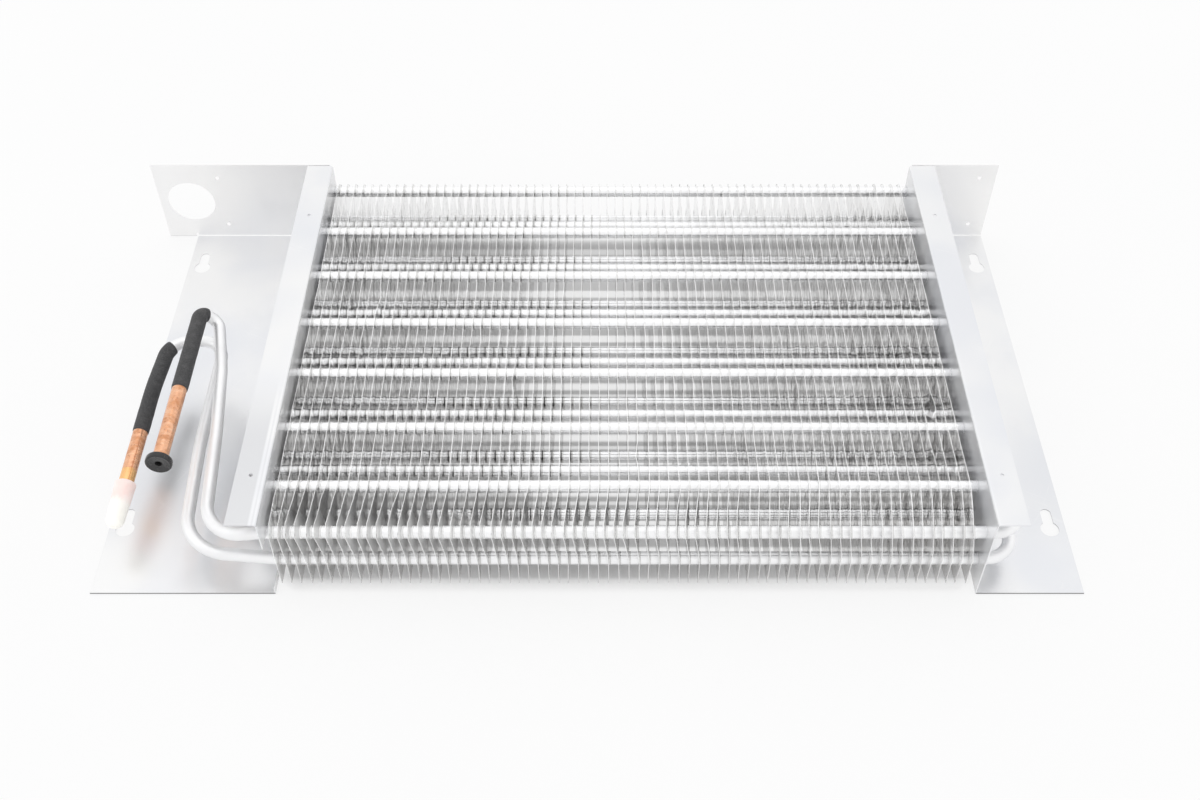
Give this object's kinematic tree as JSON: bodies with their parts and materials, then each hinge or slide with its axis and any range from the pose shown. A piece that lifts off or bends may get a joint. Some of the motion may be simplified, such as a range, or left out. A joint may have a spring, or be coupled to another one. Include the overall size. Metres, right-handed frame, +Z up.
{
  "type": "evaporator coil",
  "caption": "Finned-tube evaporator coil with staggered tube rows, folded sheet end brackets, and two closed copper connection stubs on long return hooks.",
  "frame": {"origin": "under the middle of the coil, on the plane of the bottom flanges", "axes": "+X along the tubes, from the bracket with the connections to the other; +Y from the front edge to the rear tabs; +Z up"},
  "size_m": [0.7544, 0.403, 0.0877],
  "materials": {
    "sheet": "bright mill finish",
    "fins": "bright thin foil",
    "tube": "satin drawn tube",
    "copper": "bright drawn copper",
    "sleeve": "matte black shrunk sleeve",
    "plug": "satin black moulded rubber",
    "cap": "clear soft plastic, slightly milky"
  },
  "bodies": {
    "root": {"left_bracket": "sheet", "right_bracket": "sheet", "fin_bank_01": "fins", "fin_bank_02": "fins", "fin_bank_03": "fins", "fin_bank_04": "fins", "fin_bank_05": "fins", "fin_bank_06": "fins", "fin_bank_07": "fins", "fin_bank_08": "fins", "fin_bank_09": "fins", "fin_bank_10": "fins", "outlet_tube": "tube", "inlet_tube": "tube", "hairpin_upper_1": "tube", "hairpin_upper_2": "tube", "hairpin_upper_3": "tube", "hairpin_upper_4": "tube", "hairpin_upper_5": "tube", "hairpin_upper_6": "tube", "hairpin_lower_1": "tube", "hairpin_lower_2": "tube", "hairpin_lower_3": "tube", "return_bend_upper_1": "tube", "return_bend_upper_2": "tube", "return_bend_upper_3": "tube", "return_bend_upper_4": "tube", "return_bend_upper_5": "tube", "return_bend_upper_6": "tube", "return_bend_rear": "tube", "return_bend_lower_1": "tube", "return_bend_lower_2": "tube", "return_bend_lower_3": "tube", "outlet_stub": "copper", "inlet_stub": "copper", "outlet_sleeve": "sleeve", "inlet_sleeve": "sleeve", "outlet_plug": "plug", "inlet_cap": "cap"}
  },
  "joints": []
}
